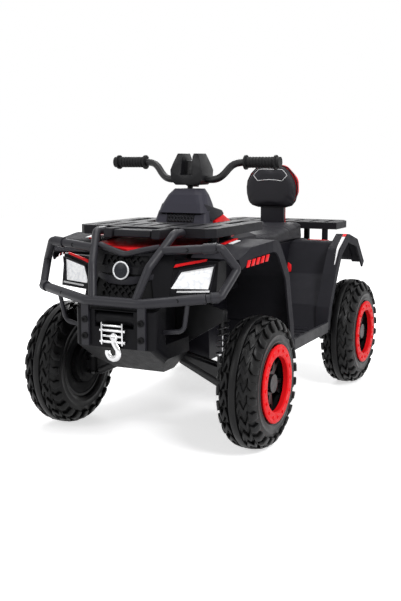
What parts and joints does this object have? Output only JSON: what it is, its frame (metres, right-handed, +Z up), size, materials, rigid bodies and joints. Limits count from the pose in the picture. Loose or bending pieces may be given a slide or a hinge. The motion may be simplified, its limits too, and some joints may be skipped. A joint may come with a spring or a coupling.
{
  "type": "kids quad bike",
  "caption": "Battery ride-on quad for children: treaded wheels with red rings, tube bumper, racks, sprung steering front arms, rear swing arm, padded seat and backrest.",
  "frame": {"origin": "on the floor, under the centre of the bounding box", "axes": "+X forward, +Y to the rider's left, +Z up"},
  "size_m": [1.322, 0.7226, 0.7899],
  "materials": {
    "black_plastic": "satin moulded",
    "red_plastic": "gloss moulded",
    "tyre": "matte moulded tread",
    "lens": "clear faceted lens over white reflector",
    "black_steel": "powder coat",
    "bright_steel": "zinc plated",
    "chrome": "chrome plated plastic",
    "vinyl": "matte vinyl",
    "grip_rubber": "matte ribbed"
  },
  "bodies": {
    "chassis": {"chassis_frame": "black_steel", "center_tub": "black_plastic", "tail_panel": "black_plastic", "battery": "black_plastic", "control_box": "black_plastic", "front_fascia": "black_plastic", "grille_mesh": "black_plastic", "headlight_lenses": "lens", "hood_panel": "red_plastic", "front_fenders": "black_plastic", "rear_fenders": "black_plastic", "footwells": "black_plastic", "front_lower_housing": "black_plastic", "bumper_lower_bar": "black_plastic", "bumper_uprights": "black_plastic", "bumper_side_loops": "black_plastic", "bumper_bolts": "bright_steel", "winch_fairlead": "chrome", "winch_hook": "chrome", "front_rack": "black_plastic", "rear_rack": "black_plastic", "column_cover": "black_plastic", "tank_cover": "red_plastic", "seat": "vinyl", "backrest_pad": "vinyl", "backrest_shell": "red_plastic", "shock_bodies": "black_steel", "shock_springs": "bright_steel"},
    "steering": {"steering_column": "black_steel", "handlebar": "black_steel", "grips": "grip_rubber", "handlebar_pod": "black_plastic"},
    "swing": {"swing_arm": "black_steel", "rear_axle": "bright_steel", "rear_motors": "black_plastic"},
    "rear_rods": {"rear_shock_rods": "bright_steel"},
    "pedal_body": {"pedal": "black_plastic"},
    "button_body": {"start_button": "red_plastic"},
    "switch_body": {"direction_switch": "black_plastic"},
    "arm_left": {"front_arm_left": "black_steel"},
    "knuckle_left": {"front_knuckle_left": "black_plastic"},
    "tie_left": {"tie_rod_left": "black_steel"},
    "shock_rod_left": {"front_shock_rod_left": "bright_steel"},
    "front_wheel_left": {"front_tyre_left": "tyre", "front_rim_left": "black_plastic", "front_ring_left": "red_plastic"},
    "rear_wheel_left": {"rear_tyre_left": "tyre", "rear_rim_left": "black_plastic", "rear_ring_left": "red_plastic"},
    "arm_right": {"front_arm_right": "black_steel"},
    "knuckle_right": {"front_knuckle_right": "black_plastic"},
    "tie_right": {"tie_rod_right": "black_steel"},
    "shock_rod_right": {"front_shock_rod_right": "bright_steel"},
    "front_wheel_right": {"front_tyre_right": "tyre", "front_rim_right": "black_plastic", "front_ring_right": "red_plastic"},
    "rear_wheel_right": {"rear_tyre_right": "tyre", "rear_rim_right": "black_plastic", "rear_ring_right": "red_plastic"}
  },
  "joints": [
    {"name": "steering", "type": "hinge", "parent": "chassis", "child": "steering", "pos_m": [0.4, 0, 0.252], "axis": [-0.4025, 0, 0.9154], "range_deg": [-20, 20]},
    {"name": "left_arm", "type": "hinge", "parent": "chassis", "child": "arm_left", "pos_m": [0.4, 0.05, 0.232], "axis": [1, 0, 0], "range_deg": [-4, 5], "stiffness_Nm_per_rad": 320, "springref_deg": -2.29, "deforming": ["shock_springs"]},
    {"name": "left_kingpin", "type": "hinge", "parent": "arm_left", "child": "knuckle_left", "pos_m": [0.4, 0.222, 0.18], "axis": [0, 0, 1], "range_deg": [-20, 20]},
    {"name": "left_tie_end", "type": "hinge", "parent": "knuckle_left", "child": "tie_left", "pos_m": [0.34, 0.222, 0.1883], "axis": [0, 0, 1], "range_deg": [-20, 20]},
    {"name": "left_shock_eye", "type": "hinge", "parent": "arm_left", "child": "shock_rod_left", "pos_m": [0.4, 0.196, 0.232], "axis": [1, 0, 0], "range_deg": [-5, 5]},
    {"name": "front_wheel_left_spin", "type": "hinge", "parent": "knuckle_left", "child": "front_wheel_left", "pos_m": [0.4, 0.3, 0.18], "axis": [0, 1, 0], "continuous": true},
    {"name": "rear_wheel_left_spin", "type": "hinge", "parent": "swing", "child": "rear_wheel_left", "pos_m": [-0.44, 0.3, 0.18], "axis": [0, 1, 0], "continuous": true},
    {"name": "right_arm", "type": "hinge", "parent": "chassis", "child": "arm_right", "pos_m": [0.4, -0.05, 0.232], "axis": [-1, 0, 0], "range_deg": [-4, 5], "stiffness_Nm_per_rad": 320, "springref_deg": -2.29, "deforming": ["shock_springs"]},
    {"name": "right_kingpin", "type": "hinge", "parent": "arm_right", "child": "knuckle_right", "pos_m": [0.4, -0.222, 0.18], "axis": [0, 0, 1], "range_deg": [-20, 20]},
    {"name": "right_tie_end", "type": "hinge", "parent": "knuckle_right", "child": "tie_right", "pos_m": [0.34, -0.222, 0.1883], "axis": [0, 0, 1], "range_deg": [-20, 20]},
    {"name": "right_shock_eye", "type": "hinge", "parent": "arm_right", "child": "shock_rod_right", "pos_m": [0.4, -0.196, 0.232], "axis": [-1, 0, 0], "range_deg": [-5, 5]},
    {"name": "front_wheel_right_spin", "type": "hinge", "parent": "knuckle_right", "child": "front_wheel_right", "pos_m": [0.4, -0.3, 0.18], "axis": [0, 1, 0], "continuous": true},
    {"name": "rear_wheel_right_spin", "type": "hinge", "parent": "swing", "child": "rear_wheel_right", "pos_m": [-0.44, -0.3, 0.18], "axis": [0, 1, 0], "continuous": true},
    {"name": "swing_arm", "type": "hinge", "parent": "chassis", "child": "swing", "pos_m": [-0.24, 0, 0.228], "axis": [0, 1, 0], "range_deg": [-4, 5], "stiffness_Nm_per_rad": 700, "springref_deg": -1.09, "deforming": ["shock_springs"]},
    {"name": "rear_shock_eyes", "type": "hinge", "parent": "swing", "child": "rear_rods", "pos_m": [-0.42, 0, 0.228], "axis": [0, 1, 0], "range_deg": [-5, 5]},
    {"name": "pedal_press", "type": "hinge", "parent": "chassis", "child": "pedal_body", "pos_m": [0.038, -0.205, 0.244], "axis": [0, 1, 0], "range_deg": [0, 15], "stiffness_Nm_per_rad": 1.2, "springref_deg": -8.59},
    {"name": "start_press", "type": "slide", "parent": "chassis", "child": "button_body", "axis": [0, 0, -1], "range_m": [0, 0.003], "stiffness_N_per_m": 400, "springref_m": -0.001},
    {"name": "direction_rock", "type": "hinge", "parent": "chassis", "child": "switch_body", "pos_m": [0.165, -0.032, 0.6135], "axis": [0, 1, 0], "range_deg": [-12, 12]}
  ],
  "couplings": [
    {"joint": "left_kingpin", "follows": "steering", "ratio": 1},
    {"joint": "left_tie_end", "follows": "steering", "ratio": -1},
    {"joint": "left_shock_eye", "follows": "left_arm", "ratio": -1},
    {"joint": "right_kingpin", "follows": "steering", "ratio": 1},
    {"joint": "right_tie_end", "follows": "steering", "ratio": -1},
    {"joint": "right_shock_eye", "follows": "right_arm", "ratio": -1},
    {"joint": "rear_shock_eyes", "follows": "swing_arm", "ratio": -1}
  ]
}
